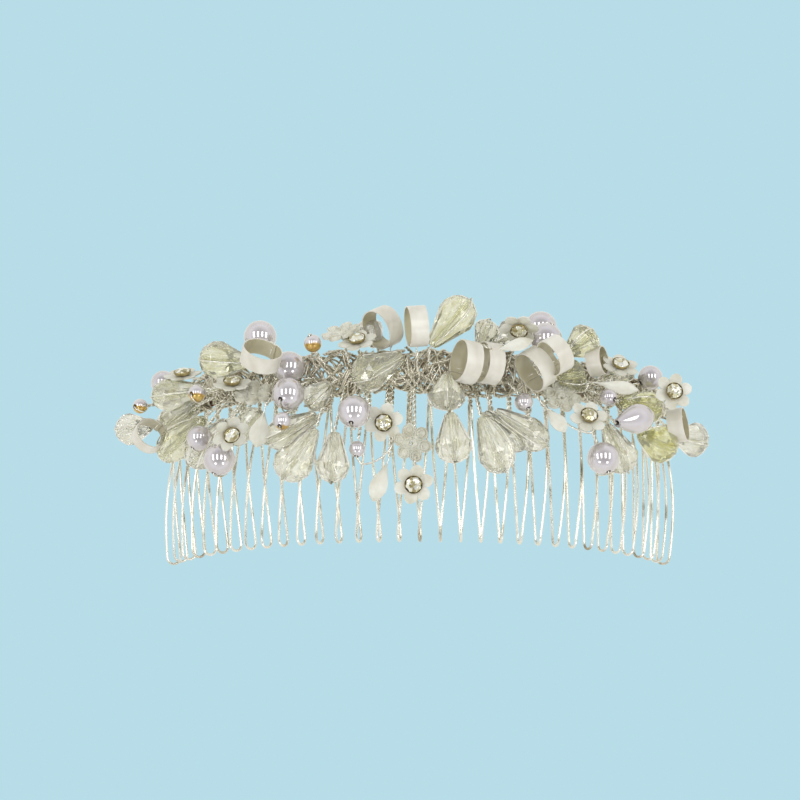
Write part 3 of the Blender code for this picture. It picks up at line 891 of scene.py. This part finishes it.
def stone_shape(centre, axis, across):
    """A cut stone standing in a rimmed cup."""
    shape = Shape()
    radius = STONE_RADIUS
    cup = [(1.1, 0.0), (radius - 0.55, 0.0), (radius - 0.3, 0.14), (radius - 0.06, 0.6),
           (radius, 0.92), (radius - 0.04, 1.02), (radius - 0.12, 1.02), (radius - 0.17, 0.9),
           (radius - 0.5, 0.35), (1.1, 0.3)]
    shape.lathe(cup, 40, centre, axis, across, slot=1)
    x, y, z = basis(axis, across)
    sides = 8
    inner = radius - 0.2
    rings = ((inner * 0.8, 0.5, 0), (inner, 0.92, 0), (inner * 0.8, 1.3, 1), (inner * 0.52, 1.55, 0))
    corners = []
    for out, height, half in rings:
        for i in range(sides):
            turn = 2 * math.pi * (i + 0.5 * half) / sides
            corners.append(centre + z * height + (x * math.cos(turn) + y * math.sin(turn)) * out)
    faces = facet_faces(rings, sides)
    faces.append(tuple(3 * sides + i for i in range(sides)))
    faces.append(tuple(reversed(range(sides))))
    return shape.add(corners, faces, 0)


def build_flowers(spray):
    for node in sorted(frame["nodes"]):
        if not node.startswith("flower"):
            continue
        stone = node.replace("flower", "rhinestone")
        points = node_points(node)
        centre = Vector(points.mean(axis=0))
        stone_middle = Vector(node_points(stone).mean(axis=0))
        far = Vector(points[np.linalg.norm(points - np.array(centre), axis=1).argmax()]) - centre
        petals, cup = build_flower(spray, node, centre, stone_middle - centre, far, False)
        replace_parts(petals, node)
        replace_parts(cup, stone)
    rng = random.Random(SEED + 3)
    for name, (place, facing, embossed) in EXTRA_FLOWERS.items():
        turn = rng.uniform(0.0, 1.0)
        across = Vector((math.cos(turn), math.sin(turn), 0.0))
        build_flower(spray, name, above_bar(*place), Vector(facing), across, embossed)


def build_flower(spray, name, centre, axis, across, embossed):
    """Petals, and a stone in its cup unless the flower shows its back."""
    axis = axis.normalized()
    shape = flower_shape(centre - axis * 0.1, axis, across, embossed)
    petals = shape.piece(name + "_petals", [ENAMEL], slot="enamel")
    spray.block(name, centre + axis * 0.8, 3.0)
    foot = centre - axis * 0.5
    spray.hold(name, [foot - axis * 2.2, foot], centre.x * ROOT_SHARE)
    if embossed:
        return petals, None
    cup = stone_shape(centre + axis * 0.28, axis, across)
    cup_name = name.replace("flower", "rhinestone") + "_set"
    return petals, cup.piece(cup_name, [STONE, BRASS], slot="rhinestone", sharp=20.0)


LEAF_THICKNESS = 0.35
STRIP_THICKNESS = 0.3


def leaf_shape(stalk, tip, width, normal):
    """A pointed leaf with a raised middle vein."""
    along = tip - stalk
    x, y, z = basis(normal, along)
    length = along.length
    rows, columns = 15, 9
    corners = []
    for under in (0.0, -LEAF_THICKNESS):
        for row in range(rows):
            share = row / (rows - 1)
            half = 0.16 + 0.5 * width * math.sin(math.pi * share ** 1.5) ** 0.85
            for column in range(columns):
                across = column / (columns - 1) * 2 - 1
                vein = 0.12 * math.exp(-abs(across) * 9)
                height = 0.35 * (1 - across * across) + vein + 0.5 * math.sin(math.pi * share)
                corners.append(stalk + x * length * share + y * half * across + z * (height - 0.3 + under))
    faces = []
    count = rows * columns
    for row in range(rows - 1):
        for column in range(columns - 1):
            a = row * columns + column
            b = a + columns
            faces.append((a, b, b + 1, a + 1))
            faces.append((count + a, count + a + 1, count + b + 1, count + b))
    rim = [row * columns for row in range(rows)]
    rim += [(rows - 1) * columns + column for column in range(1, columns)]
    rim += [row * columns + columns - 1 for row in range(rows - 2, -1, -1)]
    rim += [column for column in range(columns - 2, 0, -1)]
    for a, b in zip(rim, rim[1:] + rim[:1]):
        faces.append((a, count + a, count + b, b))
    return Shape().add(corners, faces)


def build_leaves(spray):
    leaves = {name: (above_bar(*stalk), above_bar(*tip), width, Vector(facing))
              for name, (stalk, tip, width, facing) in EXTRA_LEAVES.items()}
    for node in sorted(frame["nodes"]):
        if not node.startswith("leaf"):
            continue
        points = node_points(node)
        middle, axes = node_axes(points)
        along = (points - np.array(middle)) @ np.array(axes[0])
        ends = [middle + axes[0] * along.min(), middle + axes[0] * along.max()]
        stalk, tip = sorted(ends, key=lambda end: -end.y)
        across = (points - np.array(middle)) @ np.array(axes[1])
        normal = axes[2] if axes[2].z > 0 else -axes[2]
        leaves[node] = (stalk, tip, across.max() - across.min(), normal)
    for name, (stalk, tip, width, normal) in leaves.items():
        leaf = leaf_shape(stalk, tip, width, normal)
        piece = leaf.piece(name + "_veined", [ENAMEL], slot="enamel", sharp=50.0)
        if name in frame["nodes"]:
            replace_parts(piece, name)
        direction = (tip - stalk).normalized()
        spray.hold(name, [stalk - direction * 1.6, stalk + direction * 0.4])


def loop_shape(centre, axis, foot, radius, width):
    """A strip bent into a round, with its ends lapped at the foot; the inside has a material of its own."""
    x, y, z = basis(axis, foot)
    steps = 72
    lap = math.radians(26.0)
    corners = []
    for i in range(steps + 1):
        turn = -lap / 2 + (2 * math.pi + lap) * i / steps
        slide = 0.42 * i / steps
        out = radius - 0.45 + slide
        pinch = 1.0 - 0.05 * math.cos(turn) ** 2
        direction = x * math.cos(turn) * pinch + y * math.sin(turn)
        inner = out - STRIP_THICKNESS
        for reach, half in ((inner, -0.5), (out, -0.5), (out + 0.02, 0.0), (out, 0.5), (inner, 0.5)):
            corners.append(centre + direction * reach + z * half * width)
    shape = Shape()
    count = 5
    inside, outside = [], []
    for i in range(steps):
        low, high = i * count, (i + 1) * count
        for k in range(count):
            m = (k + 1) % count
            face = (low + k, low + m, high + m, high + k)[::-1]
            (inside if k == count - 1 else outside).append(face)
    ends = [tuple(range(count)), tuple(reversed([steps * count + k for k in range(count)]))]
    shape.add(corners, outside + ends, 0)
    shape.faces += inside
    shape.slots += [1] * len(inside)
    return shape


def build_loops(spray):
    loops = {name: (above_bar(*place), Vector(axis).normalized(), radius, width)
             for name, (place, axis, radius, width) in EXTRA_LOOPS.items()}
    for node in sorted(frame["nodes"]):
        if node.startswith("loop"):
            points = node_points(node)
            middle, axes = node_axes(points)
            along = (points - np.array(middle)) @ np.array(axes[2])
            out = np.linalg.norm(points - np.array(middle) - np.outer(along, np.array(axes[2])), axis=1)
            loops[node] = (middle, axes[2], out.max(), along.max() - along.min())
    for name, (middle, axis, radius, width) in loops.items():
        root_x = middle.x * LOOP_ROOT_SHARE
        towards = above_bar(root_x, 0.0, BUNDLE_HEIGHT) - middle
        towards = (towards - towards.dot(axis) * axis).normalized()
        loop = loop_shape(middle, axis, towards, radius, width)
        piece = loop.piece(name + "_strip", [STRIP_OUT, STRIP_IN], slot="strip")
        if name in frame["nodes"]:
            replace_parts(piece, name)
        spray.block(name, middle, radius * 0.9)
        foot = middle + towards * (radius + 0.3)
        inner = middle + towards * (radius - 0.8)
        spray.hold(name, [foot + towards * 0.8, foot, inner + axis * 1.2, inner - axis * 1.2], root_x)


def build_loose_wires():
    shape = Shape()
    for route in LOOSE_WIRES:
        shape.tube(smooth_path([above_bar(*point) for point in route], 0.4), SPRAY_WIRE_RADIUS, 8)
    shape.piece("loose_wires", [FINE_SILVER], slot="spray_wire", sharp=70.0)


def build_ornaments():
    spray = Spray()
    build_pearls(spray)
    build_teardrops(spray)
    build_flowers(spray)
    build_leaves(spray)
    build_loops(spray)
    spray.build()
    build_loose_wires()


# ---------------------------------------------------------------- stage

CAMERA_ELEVATION = math.radians(75.9)
CAMERA_DISTANCE = 0.62
CAMERA_LENS = 110.0
CAMERA_AIM = TO_WORLD @ above_bar(0.0, 0.0, 0.0) + Vector((-0.00486, -0.00169, -0.0148))


def build_camera():
    camera = bpy.data.objects.new("camera", bpy.data.cameras.new("camera"))
    camera.data.lens = CAMERA_LENS
    camera.data.clip_start = 0.01
    offset = Vector((0.0, -math.cos(CAMERA_ELEVATION), math.sin(CAMERA_ELEVATION)))
    camera.location = CAMERA_AIM + offset * CAMERA_DISTANCE
    camera.rotation_euler = (CAMERA_AIM - camera.location).to_track_quat("-Z", "Y").to_euler()
    bpy.context.scene.collection.objects.link(camera)
    bpy.context.scene.camera = camera


WORLD_COLOUR = (0.96, 0.97, 1.0, 1.0)
WORLD_SIDES = 0.95
WORLD_OVERHEAD = 0.26
FLOOR_HALF = 3.0
LIGHT_DISTANCE = 0.85
LIGHT_AIM = Vector((0.0, 0.0, 0.03))
WINDOW_BARS = 4
WINDOW_STEP = math.radians(29.0)
WINDOW_RISE = math.radians(20.0)
WINDOW_SIZE = (0.18, 0.56)
WINDOW_POWER = 1.0
LAMP_ASIDE = math.radians(26.0)
LAMP_RISE = math.radians(-30.0)
LAMP_SIZE = (0.19, 0.19)
LAMP_POWER = 0.5


def add_light(name, aside, upward, size, power, shape="RECTANGLE"):
    """A light at angles from the line of view, as seen from the comb."""
    data = bpy.data.lights.new(name, "AREA")
    data.shape = shape
    data.size, data.size_y = size
    data.energy = power
    light = bpy.data.objects.new(name, data)
    lean = Matrix.Rotation(math.pi / 2 - CAMERA_ELEVATION - upward, 3, "X")
    towards = lean @ Vector((math.sin(aside), 0.0, math.cos(aside)))
    across = (lean @ Vector((0.0, 1.0, 0.0))).cross(towards).normalized()
    light.rotation_euler = Matrix((across, towards.cross(across), towards)).transposed().to_euler()
    light.location = LIGHT_AIM + towards * LIGHT_DISTANCE
    bpy.context.scene.collection.objects.link(light)


def build_floor():
    """A floor that the camera sees as pale blue and that shines on the comb as white paper."""
    floor_mesh = bpy.data.meshes.new("floor")
    corners = [(x * FLOOR_HALF, y * FLOOR_HALF, 0.0) for x, y in ((-1, -1), (1, -1), (1, 1), (-1, 1))]
    floor_mesh.from_pydata(corners, [], [(0, 1, 2, 3)])
    floor = bpy.data.objects.new("floor", floor_mesh)
    floor_look = bpy.data.materials.new("floor_paper")
    floor_look.use_nodes = True
    tree = floor_look.node_tree
    tree.nodes.clear()
    path = tree.nodes.new("ShaderNodeLightPath")
    seen = tree.nodes.new("ShaderNodeEmission")
    seen.inputs["Color"].default_value = linear(184, 221, 232)
    paper = tree.nodes.new("ShaderNodeEmission")
    paper.inputs["Color"].default_value = linear(248, 247, 240)
    paper.inputs["Strength"].default_value = 0.92
    mix = tree.nodes.new("ShaderNodeMixShader")
    out = tree.nodes.new("ShaderNodeOutputMaterial")
    tree.links.new(path.outputs["Is Camera Ray"], mix.inputs["Fac"])
    tree.links.new(paper.outputs["Emission"], mix.inputs[1])
    tree.links.new(seen.outputs["Emission"], mix.inputs[2])
    tree.links.new(mix.outputs["Shader"], out.inputs["Surface"])
    floor_mesh.materials.append(floor_look)
    bpy.context.scene.collection.objects.link(floor)


def build_world():
    """Soft light from all sides, weaker from overhead."""
    world = bpy.data.worlds.new("studio")
    bpy.context.scene.world = world
    world.use_nodes = True
    sky = world.node_tree
    upward = sky.nodes.new("ShaderNodeSeparateXYZ")
    sky.links.new(sky.nodes.new("ShaderNodeTexCoord").outputs["Generated"], upward.inputs["Vector"])
    fade = sky.nodes.new("ShaderNodeMapRange")
    fade.inputs["From Min"].default_value = 0.35
    fade.inputs["From Max"].default_value = 0.95
    fade.inputs["To Min"].default_value = WORLD_SIDES
    fade.inputs["To Max"].default_value = WORLD_OVERHEAD
    sky.links.new(upward.outputs["Z"], fade.inputs["Value"])
    sky.links.new(fade.outputs["Result"], sky.nodes["Background"].inputs["Strength"])
    sky.nodes["Background"].inputs["Color"].default_value = WORLD_COLOUR


def build_lights():
    """The window bars and lamps that shine in the pearls."""
    for bar in range(WINDOW_BARS):
        aside = (bar - (WINDOW_BARS - 1) / 2) * WINDOW_STEP
        add_light(f"window_bar_{bar}", aside, WINDOW_RISE, WINDOW_SIZE, WINDOW_POWER)
    for name, side in (("lamp_left", -1), ("lamp_right", 1)):
        add_light(name, side * LAMP_ASIDE, LAMP_RISE, LAMP_SIZE, LAMP_POWER, "DISK")


def build_stage():
    bpy.context.scene.view_settings.view_transform = "Standard"
    build_floor()
    build_world()
    build_lights()


main()
